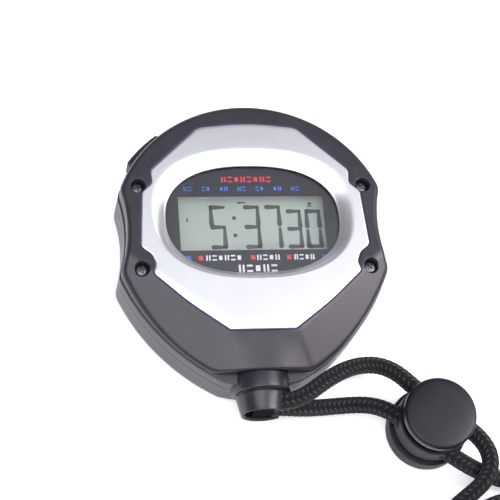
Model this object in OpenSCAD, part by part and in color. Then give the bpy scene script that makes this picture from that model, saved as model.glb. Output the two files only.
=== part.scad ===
// Digital hand stopwatch with three push buttons, a braided neck lanyard and a sprung cord lock.
// Rear face on z = 0, display towards +Z, buttons towards +Y, lanyard post towards -Y.
// x = 0 is the plane of symmetry of the case, y = 0 the midline between the case screws.

/* [Case] */
// Radius of the case's round top and foot
case_r = 34.6; // [34:0.1:42]
// How far the centre of the top circle lies below the midline of the screws
case_drop = 2; // [1.5:0.1:3]
// How far the centre of the foot circle lies below the top one's
foot_drop = 2.2; // [1:0.1:3]
// Height of the front face above the rear face
case_h = 19; // [18:0.5:24]
// Height of the split between front case and rear cover
parting_z = 9; // [7.5:0.1:9.8]
// Wall thickness of the case
wall = 1.8; // [1.4:0.1:2.2]
// Thickness of the front skin around the display
skin = 2.6; // [2.2:0.1:3]
// Thickness of the rear cover's floor
floor_t = 1.6; // [1.2:0.1:2]
// Radius of the two concave finger waists
waist_r = 35; // [28:1:45]
// Depth of each waist below the round outline
waist_depth = 3.5; // [3:0.1:4.5]
// Radius of the flatter lower flanks
flank_r = 52; // [45:1:60]
// Depth of each flank below the round outline
flank_depth = 2.4; // [1.5:0.1:3]
// Rounding of the outline's corners
corner_r = 4; // [3:0.5:5]
// Rounding of the front rim
rim_r = 1.5; // [1:0.1:2]
// Fall of the lower front facets, in degrees
facet_fall = 23; // [15:1:26]

/* [Face plate and lens] */
// Thickness of the silver face plate
plate_t = 0.8; // [0.6:0.1:1.2]
// Half width of the sloped dish round the lens
dish_hx = 24.6; // [24:0.2:26]
// Half height of the sloped dish
dish_hy = 17.1; // [16.5:0.1:18]
// Depth of the lens below the front face
lens_drop = 2; // [1.6:0.1:2.4]
// Half width of the visible lens
lens_hx = 21.6; // [21:0.2:22.6]
// Half height of the visible lens
lens_hy = 14.2; // [13.8:0.1:14.8]
// Thickness of the lens
lens_t = 1.2; // [1:0.1:1.5]

/* [Display] */
// Depth of the display glass below the front face
lcd_drop = 6; // [5.6:0.1:6.4]
// Size of the display glass
lcd_size = [41, 19, 1.8];
// Size of the window in the printed mask
window_size = [36, 14.1];
// Height of the large digits
digit_h = 11.6; // [10:0.1:12]
// Width of the large digits
digit_w = 4.1; // [3.8:0.1:4.4]

/* [Electronics] */
// Thickness of the circuit board
board_t = 1.2; // [1:0.1:1.6]
// Diameter of the button cell
cell_d = 11.6; // [9.5:0.1:12.5]
// Height of the button cell
cell_h = 5.4; // [3.6:0.1:5.4]
// Diameter of the piezo buzzer disc
buzzer_d = 20; // [15:1:22]

/* [Buttons] */
// Width of each button along the rim
button_w = 11; // [9:0.5:12]
// Height of each button
button_h = 5.8; // [5:0.1:6.2]
// How far the buttons stand out of the case
button_proud = 2; // [1.5:0.1:2.4]
// Travel of a button when it is pressed
button_travel = 1; // [0.6:0.1:1]
// Angle of the two corner buttons from the top one
button_spread = 45; // [43:1:46]

/* [Screws] */
// Distance of the case screws inside the round outline's side
screw_inset = 6.8; // [6.4:0.1:7.2]
// Half the distance between upper and lower case screws
screw_hy = 10.6; // [10.2:0.1:11]
// Diameter of the case screw heads
screw_head_d = 3; // [2.6:0.1:3.2]
// Diameter of the case screw shanks
screw_d = 2; // [1.6:0.1:2.2]

/* [Lanyard post] */
// Radius of the post's collar
collar_r = 7.2; // [6.8:0.1:7.6]
// Radius of the post where it leaves the collar
post_r = 6.3; // [6:0.1:6.6]
// Radius of the post's open end
post_tip_r = 5.3; // [5.2:0.1:5.6]
// How far the post reaches beyond the case
post_reach = 6; // [5.6:0.1:7]

/* [Lanyard] */
// Diameter of the braided cord
cord_d = 4.2; // [4:0.1:4.4]

/* [Cord lock] */
// Radius of the lock's foot
lock_foot_r = 9.7; // [9.4:0.1:11]
// Radius of the lock's barrel
lock_r = 8.9; // [8.8:0.1:9.2]
// Travel of the plunger when it is pressed
lock_travel = 2; // [1:0.1:2]

/* [Hidden] */
$fn = 64;

fit = 0.1;                // clearance between pieces that locate each other
slack = 0.25;             // clearance round pieces that slide
eps = 0.5;                // how far a cutting shape passes a face

// ---- places worked out from the driving sizes
case_c = [0, -case_drop];
foot_c = case_c - [0, foot_drop];
foot_y = foot_c[1] - case_r;
waist_c = [case_r - waist_depth + waist_r, 0.5];
flank_heading = -38.8;
flank_c = foot_c - (flank_r - case_r + flank_depth) * [cos(flank_heading), sin(flank_heading)];
lens_z = case_h - lens_drop;
mask_t = 0.15;
seat_z = lens_z - lens_t - mask_t;
lens_c = [0, 2.4];
dish_c = [0, 3.7];
lens_flange = 1;
seat_ledge = 0.8;
seat_rim = 1.6;
lcd_c = [0, 1.7];
lcd_z = case_h - lcd_drop;
board_z = parting_z;
board_top = board_z + board_t;
frame_wall = 1.4;
frame_bottom = board_top;
frame_top = seat_z - 0.8;
button_z = board_z + 0.5;
button_angles = [90 - button_spread, 90 + button_spread, 90];   // start, reset, mode
button_edge = case_r - wall - fit;
flange_t = 1.2;
flange_extra = 1.2;
spring_len = 2.7;
rib_t = 1.2;
rib_out = button_edge - flange_t - spring_len;
stem_r = 1.2;
leaf_t = 0.25;
stem_tip = rib_out - rib_t - 0.5;
leaf_r = stem_tip - button_travel - 0.05;
screw_x = case_r - screw_inset;
screw_places = [for (sx = [-1, 1], sy = [-1, 1]) [sx * screw_x, sy * screw_hy]];
pillar_r = 2.8;
screw_seat = case_h - 2.8;
screw_head_h = 1.2;
screw_len = 11;
board_screw_places = [[-10, 15.4], [10, 15.4], [0, -17.5]];
board_boss_r = 1.9;
post_z = 9.4;
collar_y = foot_y + 3.2;
collar_len = 4.2;
neck_r = 5;
post_end = foot_y - post_reach;
cord_r = cord_d / 2;
cell_c = [-14, -12];
cell_z = board_z - 0.3 - cell_h;
buzzer_c = [9, 3];
chip_c = [2, lcd_c[1]];
crystal_c = [-12, 2];
smd_places = [[14, -8], [14, -5], [14, -2], [-20, 6], [-20, 3], [6, -12]];
clamp_x = 2.4;
clamp_y = post_end + 2.4;
window_l = 4.9;
strand_gap = 0.2;
strand_rise = cord_r + strand_gap / 2;
coil_c = [62.5, -91.5];
coil_mean_r = 23;
lock_c = [41.4, -47.5];
lock_heading = -40;
lock_cord_z = 9;
lock_cord_y = 4.2;
lock_foot_h = 5;
lock_top = lock_cord_z + cord_r + 0.9;
lock_floor = 1.2;
lock_wall = 1.2;
plunger_r = lock_r - lock_wall - fit;
plunger_head_r = 8.8;
plunger_head_z = lock_top + lock_travel + 0.1;
plunger_head_h = 3;
plunger_bottom = lock_cord_z - cord_r - 1.2;

// The hand-laid route of each strand, from the clamp through the lock to the coil
upper_route = [
    [2.4, -42.4, 11.6], [6, -42.4, 11.6], [10, -40.9, 11.2], [14, -38, 10.1], [18.4, -35, 8.6],
    [23, -32.7, 6.9], [27.4, -31.7, 5.8], [31.3, -32.2, 6], [34.9, -34.9, 7.5], [37.5, -38.6, 8.8],
    [40.4, -41.2, 9], [43.6, -43.9, 9], [47, -46.7, 9], [50, -49.4, 9.1], [53, -52.6, 9.4],
    [54.5, -56.4, 9.8], [53.9, -60.4, 9.9], [51.4, -63.6, 9.2], [47.8, -66, 7.4], [43.8, -68.9, 5.2],
    [39.9, -72.9, 3.4], [36.4, -78.1, 2.3], [34, -84.3, 2.1], [34.3, -91.5, 2.1], [37.2, -99.2, 2.1]
];
lower_route = [
    [2.4, -42.4, 7.2], [6, -42.4, 7.2], [10, -42.5, 6.3], [14.2, -42.1, 5], [18.6, -41.6, 4.1],
    [23, -41.4, 4.3], [27, -42, 6], [30.2, -43.7, 7.9], [33, -45.9, 9], [36.1, -48.5, 9],
    [39.9, -51.7, 9], [43.7, -54.9, 9], [45.6, -56.4, 8.9], [48.6, -58, 7.8], [52, -59.2, 5.8],
    [55.6, -60.1, 3.9], [59.4, -61, 2.6], [63.4, -61.6, 2.1], [70.1, -62.9, 2.1], [77.2, -66.4, 3.1],
    [82.8, -72.9, 6], [85.8, -80.4, 9.1]
];

// ---- outline helpers
function heading(a, b) = atan2(b[1] - a[1], b[0] - a[0]);
function full(a) = (a + 360) % 360;
function unit(v) = v / norm(v);
function arc(c, r, a0, a1, n) = [for (i = [1:n]) let (a = a0 + (a1 - a0) * i / n) c + r * [cos(a), sin(a)]];

// One of the two points that lie r1 from c1 and r2 from c2
function meet(c1, r1, c2, r2, side) =
    let (d = c2 - c1, l = norm(d), along = (r1 * r1 - r2 * r2 + l * l) / (2 * l),
         off = sqrt(r1 * r1 - along * along), u = d / l)
    c1 + along * u + side * off * [-u[1], u[0]];

function mirrored(half) = concat(half, [for (i = [len(half) - 1:-1:0]) if (half[i][0] > 0.001)
                                        [-half[i][0], half[i][1]]]);

// The case outline pulled in by a margin: round top and foot, concave waists, flatter flanks
function case_outline(margin) =
    let (r = case_r - margin, w = waist_r + margin, f = flank_r - margin, k = max(corner_r - margin, 0.6),
         ear = meet(case_c, r - k, waist_c, w + k, 1),
         hip = meet(flank_c, f - k, waist_c, w + k, -1),
         toe = meet(flank_c, f - k, foot_c, r - k, -1))
    mirrored(concat(
        [case_c + [0, r]],
        arc(case_c, r, 90, heading(case_c, ear), 12),
        arc(ear, k, heading(case_c, ear), heading(ear, waist_c), 3),
        arc(waist_c, w, full(heading(waist_c, ear)), full(heading(waist_c, hip)), 6),
        arc(hip, k, heading(hip, waist_c), heading(flank_c, hip), 3),
        arc(flank_c, f, heading(flank_c, hip), heading(flank_c, toe), 8),
        arc(toe, k, heading(flank_c, toe), heading(foot_c, toe), 3),
        arc(foot_c, r, heading(foot_c, toe), -90, 4)
    ));

// A closed outline through [x, y, radius] corners, each corner rounded by its radius
function rounded(pts, steps = 5) = [
    for (i = [0:len(pts) - 1])
        let (n = len(pts), p = [pts[i][0], pts[i][1]], r = pts[i][2],
             a = pts[(i + n - 1) % n], b = pts[(i + 1) % n],
             u = unit([a[0], a[1]] - p), v = unit([b[0], b[1]] - p), half = acos(u * v) / 2,
             c = p + unit(u + v) * r / sin(half),
             a0 = heading(c, p + u * r / tan(half)), a1 = heading(c, p + v * r / tan(half)),
             sweep = full(a1 - a0 + 540) - 180)
        for (k = [0:steps]) c + r * [cos(a0 + sweep * k / steps), sin(a0 + sweep * k / steps)]
];

// A superellipse: fuller than an ellipse at its corners
function oval(hx, hy, power = 2.4, n = 72) = [
    for (i = [0:n - 1]) let (a = 360 * i / n)
        [hx * sign(cos(a)) * pow(abs(cos(a)), 2 / power), hy * sign(sin(a)) * pow(abs(sin(a)), 2 / power)]
];

// Half of the face plate's outline, from the top centre round to the bottom centre
plate_half = [
    [0, 27.6, 60], [12.2, 26.2, 4], [24.6, 14.6, 1.6], [24.3, 11.2, 1.8], [26.9, 8.9, 1.6],
    [27.9, -5.2, 1.6], [25.4, -7.2, 1.4], [24.5, -9.6, 1.8], [25.2, -12, 1.2], [17.2, -19.4, 60],
    [7.9, -26.4, 0.8]
];
plate_corners = concat(plate_half, [for (i = [len(plate_half) - 1:-1:1])
                                    [-plate_half[i][0], plate_half[i][1], plate_half[i][2]]]);
plate_size = 27;

// The plate's outline, drawn in by a gap all round
function plate_outline(gap) =
    rounded([for (p = plate_corners) let (k = 1 - gap / plate_size) [p[0] * k, p[1] * k, p[2]]]);

// ---- solids used by several pieces
// A tube of the given radius swept along a route of points, with flat sides
module sweep(route, r, sides) {
    last = len(route) - 1;
    rings = [for (i = [0:last])
        let (t = unit(route[min(i + 1, last)] - route[max(i - 1, 0)]),
             across = unit(cross([0, 0, 1], t)), up = cross(t, across))
        for (k = [0:sides - 1])
            route[i] + r * (cos(360 * k / sides) * across + sin(360 * k / sides) * up)];
    faces = concat(
        [[for (k = [0:sides - 1]) k]],
        [for (i = [0:last - 1], k = [0:sides - 1])
            let (a = i * sides + k, b = i * sides + (k + 1) % sides) [a, a + sides, b + sides, b]],
        [[for (k = [sides - 1:-1:0]) last * sides + k]]
    );
    polyhedron(rings, faces, convexity = 8);
}

// A coil spring standing on z = 0: end radii r0 and r1, length l, wire diameter d
module coil_spring(r0, r1, l, d, turns) {
    steps = turns * 14;
    sweep([for (i = [0:steps]) let (u = i / steps, a = 360 * turns * u, r = r0 + (r1 - r0) * u)
           [r * cos(a), r * sin(a), d / 2 + (l - d) * u]], d / 2, 6);
}

module prism(outline, z0, z1) {
    translate([0, 0, z0])
        linear_extrude(z1 - z0)
            polygon(outline);
}

// Half spaces above the three lower facets, each lowered by a depth
module facet_cuts(depth) {
    toe = [7.9, -26.4];
    reach = 80;
    for (turn = [-39.8, 0, 39.8])
        translate([sign(turn) * toe[0], toe[1], case_h])
            rotate([0, 0, turn])
                rotate([facet_fall, 0, 0])
                    translate([-reach / 2, -reach, -depth])
                        cube([reach, reach + depth, reach / 2]);
}

// The solid form of the case, pulled in by a margin and cut off between two heights
module case_form(margin, z0, z1) {
    difference() {
        prism(case_outline(margin), z0, z1);
        facet_cuts(margin);
    }
}

// Places a child at each button, with local +X pointing out of the case
module at_button(angle) {
    translate([0, -case_drop, button_z])
        rotate([0, 0, angle])
            children();
}

module at_screws() {
    for (p = screw_places)
        translate(p)
            children();
}

// Turns a child's +Z to point along -Y, out of the lanyard post
module at_post(y) {
    translate([0, y, post_z])
        rotate([90, 0, 0])
            children();
}

module button_openings() {
    for (a = button_angles)
        at_button(a)
            translate([case_r - 2 * wall, -button_w / 2 - slack, -button_h / 2 - slack])
                cube([4 * wall, button_w + 2 * slack, button_h + 2 * slack]);
}

// The room for the post's neck and collar in both halves of the case
module post_socket() {
    at_post(collar_y + 8)
        cylinder(r = neck_r + fit, h = 8 + eps);
    at_post(collar_y + fit)
        cylinder(r = collar_r + fit, h = 20);
    at_post(collar_y + 2.2 + flange_t + fit)
        cylinder(r = neck_r + 1.2 + fit, h = flange_t + 2 * fit);
}

// ---- case
module front_case() {
    color([0.11, 0.11, 0.13])
        difference() {
            union() {
                difference() {
                    for (i = [0:3])
                        case_form(rim_r * (1 - cos(25 * i)), parting_z,
                                  case_h - rim_r * (1 - sin(25 * i + 15)));
                    case_form(wall, parting_z - eps, case_h - skin);
                }
                translate(lens_c)
                    prism(oval(lens_hx + lens_flange + seat_rim, lens_hy + lens_flange + seat_rim),
                          seat_z - 0.8, case_h - skin + 0.1);
                at_screws()
                    translate([0, 0, parting_z])
                        cylinder(r = pillar_r, h = case_h - skin - parting_z + 0.1);
                for (p = board_screw_places)
                    translate([p[0], p[1], board_top])
                        cylinder(r = board_boss_r, h = case_h - skin - board_top + 0.1);
                intersection() {
                    translate([-9, collar_y - 1, parting_z])
                        cube([18, 4.6, 9]);
                    case_form(0.2, parting_z, case_h);
                }
            }
            prism(plate_outline(0), case_h - plate_t, case_h + eps);
            translate(dish_c)
                prism(oval(dish_hx + 0.8, dish_hy + 0.8), lens_z, case_h);
            translate(lens_c) {
                prism(oval(lens_hx + lens_flange + fit, lens_hy + lens_flange + fit), seat_z, lens_z + eps);
                prism(oval(lens_hx + lens_flange - seat_ledge, lens_hy + lens_flange - seat_ledge),
                      parting_z, seat_z + eps);
            }
            at_screws() {
                translate([0, 0, screw_seat])
                    cylinder(d = screw_head_d + 2 * fit, h = case_h);
                translate([0, 0, parting_z - eps])
                    cylinder(d = screw_d + 2 * fit, h = case_h);
            }
            for (p = board_screw_places)
                translate([p[0], p[1], board_top - eps])
                    cylinder(r = 0.7, h = 4.5);
            button_openings();
            post_socket();
        }
}

module rear_cover() {
    rib_w = 6;
    color([0.1, 0.1, 0.12])
        difference() {
            union() {
                difference() {
                    for (i = [0:3])
                        prism(case_outline(rim_r * (1 - sin(25 * i + 15))), rim_r * (1 - cos(25 * i)), parting_z);
                    prism(case_outline(wall), floor_t, parting_z + eps);
                }
                at_screws()
                    translate([0, 0, floor_t - 0.1])
                        cylinder(r = pillar_r, h = parting_z - floor_t + 0.1);
                intersection() {
                    translate([-9, collar_y - 1, floor_t - 0.1])
                        cube([18, 4.6, parting_z - floor_t + 0.1]);
                    prism(case_outline(0.2), 0, parting_z);
                }
                for (a = button_angles)
                    at_button(a)
                        translate([rib_out - rib_t, -rib_w / 2, floor_t - 0.1 - button_z])
                            cube([rib_t, rib_w, button_z + 3 - floor_t + 0.1]);
            }
            at_screws()
                translate([0, 0, screw_seat - screw_len - 1])
                    cylinder(d = screw_d - 0.3, h = case_h);
            for (a = button_angles)
                at_button(a)
                    translate([rib_out - rib_t - eps, 0, 0])
                        rotate([0, 90, 0])
                            cylinder(r = stem_r + slack, h = rib_t + 2 * eps);
            button_openings();
            post_socket();
        }
}

module case_screws() {
    color([0.2, 0.2, 0.22])
        at_screws()
            difference() {
                union() {
                    translate([0, 0, screw_seat])
                        cylinder(d = screw_head_d, h = screw_head_h);
                    translate([0, 0, screw_seat - screw_len])
                        cylinder(d = screw_d, h = screw_len + 0.1);
                }
                for (turn = [20, 110])
                    rotate([0, 0, turn])
                        translate([-0.9, -0.2, screw_seat + screw_head_h - 0.7])
                            cube([1.8, 0.4, 1]);
            }
}

// ---- face plate and lens
module face_plate() {
    color([0.76, 0.77, 0.8])
        difference() {
            union() {
                prism(plate_outline(fit), case_h - plate_t, case_h);
                translate(dish_c)
                    prism(oval(dish_hx + 0.8 - fit, dish_hy + 0.8 - fit), lens_z, case_h - plate_t + 0.1);
            }
            hull() {
                translate(dish_c)
                    prism(oval(dish_hx, dish_hy), case_h, case_h + eps);
                translate(lens_c)
                    prism(oval(lens_hx, lens_hy), lens_z - eps, lens_z + 0.3);
            }
        }
}

module lens() {
    color([0.8, 0.85, 0.9, 0.3])
        translate(lens_c)
            prism(oval(lens_hx + lens_flange, lens_hy + lens_flange), lens_z - lens_t, lens_z);
}

module lens_mask() {
    color([0.09, 0.09, 0.11])
        difference() {
            translate(lens_c)
                prism(oval(lens_hx + lens_flange, lens_hy + lens_flange), seat_z, lens_z - lens_t);
            translate([lcd_c[0] - window_size[0] / 2, lcd_c[1] - window_size[1] / 2, seat_z - eps])
                cube([window_size[0], window_size[1], 1 + eps]);
        }
}

// ---- display
module block(c, size, z) {
    translate([c[0] - size[0] / 2, c[1] - size[1] / 2, z])
        cube(size);
}

module lcd_frame() {
    outer = [lcd_size[0] + 2 * frame_wall, lcd_size[1] + 2 * frame_wall];
    color([0.85, 0.85, 0.83])
        difference() {
            block(lcd_c, [outer[0], outer[1], frame_top - frame_bottom], frame_bottom);
            block(lcd_c, [lcd_size[0] + 2 * fit, lcd_size[1] + 2 * fit, lcd_z - frame_bottom + eps],
                  frame_bottom - eps);
            block(lcd_c, [window_size[0] + 1.6, window_size[1] + 1.6, 2 * lcd_drop], frame_bottom);
        }
}

module lcd_glass() {
    color([0.66, 0.7, 0.66])
        block(lcd_c, lcd_size, lcd_z - lcd_size[2]);
}

// One digit made of seven bars; bars is a string of 0 and 1 for top, upper right, lower right,
// bottom, lower left, upper left and middle
module digit(x, w, h, bars) {
    bar = w * 0.2;
    places = [
        [w / 2, h - bar / 2, 0], [w - bar / 2, h * 0.75, 90], [w - bar / 2, h * 0.25, 90],
        [w / 2, bar / 2, 0], [bar / 2, h * 0.25, 90], [bar / 2, h * 0.75, 90], [w / 2, h / 2, 0]
    ];
    for (i = [0:6])
        if (bars[i] == "1") {
            long = (places[i][2] == 90 ? h / 2 : w) - 0.3;
            translate([x + places[i][0], places[i][1]])
                rotate(places[i][2])
                    polygon([[-long / 2, 0], [-long / 2 + bar / 2, -bar / 2], [long / 2 - bar / 2, -bar / 2],
                             [long / 2, 0], [long / 2 - bar / 2, bar / 2], [-long / 2 + bar / 2, bar / 2]]);
        }
}

module lcd_segments() {
    five = "1011011";
    three = "1111001";
    seven = "1110000";
    zero = "1111110";
    small = 0.86;
    color([0.3, 0.31, 0.32])
        translate([0, lcd_c[1] - digit_h / 2 + 0.45, lcd_z])
            linear_extrude(0.05) {
                digit(-10, digit_w, digit_h, five);
                digit(-1.6, digit_w, digit_h, three);
                digit(3.7, digit_w, digit_h, seven);
                digit(9.2, digit_w * small, digit_h * small, three);
                digit(13.8, digit_w * small, digit_h * small, zero);
                for (y = [digit_h * 0.3, digit_h * 0.68])
                    translate([-4.4, y])
                        square([0.8, 0.8]);
            }
}

module zebra_strips() {
    strip = [36, 1.8, lcd_z - lcd_size[2] - board_top];
    color([0.9, 0.5, 0.6])
        for (side = [-1, 1])
            block(lcd_c + [0, side * (lcd_size[1] / 2 - 1.1)], strip, board_top);
}

// ---- electronics
module circuit_board() {
    notch_w = button_w + 2 * flange_extra + 1.4;
    ear_cut = 1.6;
    color([0.1, 0.4, 0.2])
        difference() {
            prism(case_outline(wall + 0.5), board_z, board_top);
            for (p = screw_places)
                translate([p[0], p[1], board_z - eps]) {
                    cylinder(r = pillar_r + 0.4, h = 3);
                    rotate([0, 0, heading(case_c, p)])
                        translate([0, -pillar_r - ear_cut, 0])
                            cube([4 * pillar_r, 2 * (pillar_r + ear_cut), 3]);
                }
            for (a = button_angles)
                at_button(a)
                    translate([leaf_r - leaf_t, -notch_w / 2, -3])
                        cube([12 + case_r - leaf_r, notch_w, 6]);
            for (p = board_screw_places)
                translate([p[0], p[1], board_z - eps])
                    cylinder(r = 1, h = 3);
            translate([-12, collar_y - 20, board_z - eps])
                cube([24, 20 + 5.2, 3]);
        }
}

module chip_blob() {
    blob_r = 4;
    blob_h = 1.3;
    ball_r = (blob_r * blob_r + blob_h * blob_h) / (2 * blob_h);
    color([0.05, 0.05, 0.05])
        translate([chip_c[0], chip_c[1], board_z])
            intersection() {
                translate([0, 0, -blob_h])
                    cylinder(r = blob_r, h = blob_h);
                translate([0, 0, ball_r - blob_h])
                    sphere(r = ball_r);
            }
}

module quartz_crystal() {
    color([0.8, 0.8, 0.82])
        translate([crystal_c[0], crystal_c[1], board_z - 1])
            rotate([0, 90, 0])
                cylinder(r = 1, h = 6);
}

module smd_parts() {
    color([0.75, 0.65, 0.5])
        for (p = smd_places)
            block(p, [2, 1.25, 0.6], board_z - 0.6);
}

module board_screws() {
    color([0.7, 0.7, 0.72])
        for (p = board_screw_places)
            translate([p[0], p[1], 0]) {
                translate([0, 0, board_z - 1])
                    cylinder(r = 1.6, h = 1);
                translate([0, 0, board_z - 0.1])
                    cylinder(r = 0.8, h = board_t + 3.6);
            }
}

module key_contacts() {
    leaf_w = 3.4;
    foot = 1.2;
    color([0.85, 0.7, 0.3])
        for (a = button_angles)
            at_button(a) {
                translate([leaf_r - leaf_t, -leaf_w / 2, -1.6])
                    cube([leaf_t, leaf_w, board_top - button_z + 1.6 + leaf_t]);
                translate([leaf_r - leaf_t - foot, -leaf_w / 2, board_top - button_z])
                    cube([foot + 0.1, leaf_w, leaf_t]);
            }
}

module piezo_buzzer() {
    color([0.85, 0.7, 0.35])
        translate([buzzer_c[0], buzzer_c[1], floor_t])
            cylinder(d = buzzer_d, h = 0.3);
    color([0.9, 0.9, 0.88])
        translate([buzzer_c[0], buzzer_c[1], floor_t + 0.3])
            cylinder(d = buzzer_d * 0.7, h = 0.2);
}

module buzzer_spring() {
    color([0.8, 0.8, 0.8])
        translate([buzzer_c[0], buzzer_c[1], floor_t + 0.5])
            coil_spring(1.6, 1.6, board_z - floor_t - 0.5, 0.4, 6);
}

module button_cell() {
    color([0.8, 0.8, 0.82])
        translate([cell_c[0], cell_c[1], cell_z]) {
            cylinder(d = cell_d, h = cell_h - 0.5);
            cylinder(d = cell_d - 3, h = cell_h);
        }
}

module cell_clip() {
    strap = 0.3;
    half = cell_d / 2 + fit;
    color([0.8, 0.78, 0.7])
        translate([cell_c[0], cell_c[1], 0]) {
            for (side = [-1, 1])
                translate([side > 0 ? half : -half - strap, -2.5, cell_z - strap])
                    cube([strap, 5, board_z - cell_z + strap]);
            translate([-half - strap, -2.5, cell_z - strap])
                cube([2 * (half + strap), 5, strap]);
        }
}

module cell_contact() {
    color([0.85, 0.8, 0.6])
        translate([cell_c[0], cell_c[1], cell_z + cell_h])
            cylinder(d = 4, h = board_z - cell_z - cell_h);
}

// ---- buttons
module button(angle, tint) {
    cap_r = case_r + button_proud;
    flange_w = button_w + 2 * flange_extra;
    flange_h = button_h + flange_extra;
    color(tint)
        at_button(angle) {
            intersection() {
                translate([case_r - wall - 1, -button_w / 2, -button_h / 2])
                    cube([cap_r, button_w, button_h]);
                translate([0, 0, -button_h])
                    cylinder(r = cap_r, h = 2 * button_h, $fn = 180);
            }
            intersection() {
                translate([button_edge - flange_t, -flange_w / 2, -flange_h / 2])
                    cube([2 * flange_t, flange_w, flange_h]);
                translate([0, 0, -button_h])
                    cylinder(r = button_edge, h = 2 * button_h, $fn = 180);
            }
            translate([stem_tip, 0, 0])
                rotate([0, 90, 0])
                    cylinder(r = stem_r, h = button_edge - flange_t - stem_tip + 0.1);
        }
}

module button_spring(angle) {
    color([0.8, 0.8, 0.8])
        at_button(angle)
            translate([rib_out + 0.02, 0, 0])
                rotate([0, 90, 0])
                    coil_spring(1.9, 1.9, spring_len - 0.04, 0.35, 3);
}

module start_button() { button(button_angles[0], [0.12, 0.12, 0.14]); }
module reset_button() { button(button_angles[1], [0.12, 0.12, 0.14]); }
module mode_button() { button(button_angles[2], [0.12, 0.12, 0.14]); }
module start_spring() { button_spring(button_angles[0]); }
module reset_spring() { button_spring(button_angles[1]); }
module mode_spring() { button_spring(button_angles[2]); }

// ---- lanyard post and what holds the cord in it
module lanyard_post() {
    bore_h = 2 * strand_rise + cord_d + 0.2;
    color([0.13, 0.13, 0.15])
        difference() {
            union() {
                at_post(collar_y)
                    cylinder(r = collar_r, h = collar_len);
                at_post(collar_y - collar_len + 0.1)
                    cylinder(r = post_r - 0.3, h = 0.5);
                at_post(collar_y - collar_len - 0.4)
                    cylinder(r1 = post_r, r2 = post_tip_r, h = collar_y - collar_len - 0.4 - post_end);
                at_post(collar_y + 2.2 + flange_t)
                    cylinder(r = neck_r, h = 2.3 + flange_t);
                at_post(collar_y + 2.2 + flange_t)
                    cylinder(r = neck_r + 1.2, h = flange_t);
            }
            translate([-clamp_x, post_end - eps, post_z - bore_h / 2])
                cube([2 * post_r + clamp_x, window_l + eps, bore_h]);
            translate([0, clamp_y, 0])
                cylinder(r = 0.8, h = 2 * post_z);
        }
}

module post_pin() {
    color([0.75, 0.75, 0.77])
        translate([0, clamp_y, post_z - 5])
            cylinder(r = 0.8, h = 10);
}

module cord_clamp() {
    color([0.15, 0.15, 0.16])
        difference() {
            translate([-clamp_x + fit, clamp_y - 1.7, post_z - strand_rise - cord_r])
                cube([2 * clamp_x - fit, 3.4, 2 * (strand_rise + cord_r)]);
            translate([0, clamp_y, 0])
                cylinder(r = 0.9, h = 2 * post_z);
        }
}

// ---- cord, coil and tie
module upper_strand() {
    color([0.16, 0.15, 0.15])
        sweep(upper_route, cord_r, 10);
}

module lower_strand() {
    color([0.16, 0.15, 0.15])
        sweep(lower_route, cord_r, 10);
}

module cord_coil() {
    color([0.16, 0.15, 0.15])
        translate([coil_c[0], coil_c[1], 0])
            rotate_extrude()
                translate([coil_mean_r - cord_d, 0])
                    square([2 * cord_d, 3 * cord_d]);
}

module coil_tie() {
    tie_t = 0.6;
    tie_angle = 12;
    color([0.08, 0.08, 0.08])
        translate([coil_c[0], coil_c[1], 0])
            rotate([0, 0, -90 - tie_angle / 2])
                rotate_extrude(angle = tie_angle)
                    difference() {
                        translate([coil_mean_r - cord_d - tie_t, 0])
                            square([2 * cord_d + 2 * tie_t, 3 * cord_d + tie_t]);
                        translate([coil_mean_r - cord_d, -eps])
                            square([2 * cord_d, 3 * cord_d + eps]);
                    }
}

// ---- cord lock
module at_lock() {
    translate([lock_c[0], lock_c[1], 0])
        rotate([0, 0, lock_heading])
            children();
}

module lock_barrel() {
    hole_r = cord_r + 0.2;
    color([0.13, 0.13, 0.15])
        at_lock()
            difference() {
                union() {
                    cylinder(r = lock_foot_r, h = lock_foot_h);
                    cylinder(r = lock_r - 0.5, h = lock_foot_h + 0.8);
                    translate([0, 0, lock_foot_h + 0.8])
                        cylinder(r = lock_r, h = lock_top - lock_foot_h - 0.8);
                }
                translate([0, 0, lock_floor])
                    cylinder(r = plunger_r + fit, h = lock_top);
                for (side = [-1, 1])
                    translate([-lock_foot_r - eps, side * lock_cord_y, lock_cord_z])
                        rotate([0, 90, 0])
                            cylinder(r = hole_r, h = 2 * (lock_foot_r + eps));
            }
}

module lock_plunger() {
    slot_w = cord_d + 0.3;
    slot_bottom = lock_cord_z - cord_r - 0.1;
    slot_h = cord_d + 0.2 + lock_travel;
    color([0.16, 0.16, 0.18])
        at_lock()
            difference() {
                union() {
                    translate([0, 0, plunger_bottom])
                        cylinder(r = plunger_r, h = plunger_head_z - plunger_bottom + 0.1);
                    translate([0, 0, plunger_head_z])
                        cylinder(r = plunger_head_r, h = plunger_head_h);
                }
                for (side = [-1, 1])
                    translate([-lock_foot_r, side * lock_cord_y - slot_w / 2, slot_bottom])
                        cube([2 * lock_foot_r, slot_w, slot_h]);
            }
}

module lock_spring() {
    color([0.8, 0.8, 0.8])
        at_lock()
            translate([0, 0, lock_floor])
                coil_spring(5.4, 4, plunger_bottom - lock_floor, 0.7, 3);
}

front_case();
rear_cover();
face_plate();
lens();
lens_mask();
case_screws();
lcd_frame();
lcd_glass();
lcd_segments();
zebra_strips();
circuit_board();
chip_blob();
quartz_crystal();
smd_parts();
board_screws();
key_contacts();
piezo_buzzer();
buzzer_spring();
button_cell();
cell_clip();
cell_contact();
start_button();
reset_button();
mode_button();
start_spring();
reset_spring();
mode_spring();
lanyard_post();
post_pin();
cord_clamp();
upper_strand();
lower_strand();
cord_coil();
coil_tie();
lock_barrel();
lock_plunger();
lock_spring();
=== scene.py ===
from math import cos, pi, radians, sin, tau

import bmesh
import bpy
import numpy as np
from mathutils import Matrix, Vector


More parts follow.
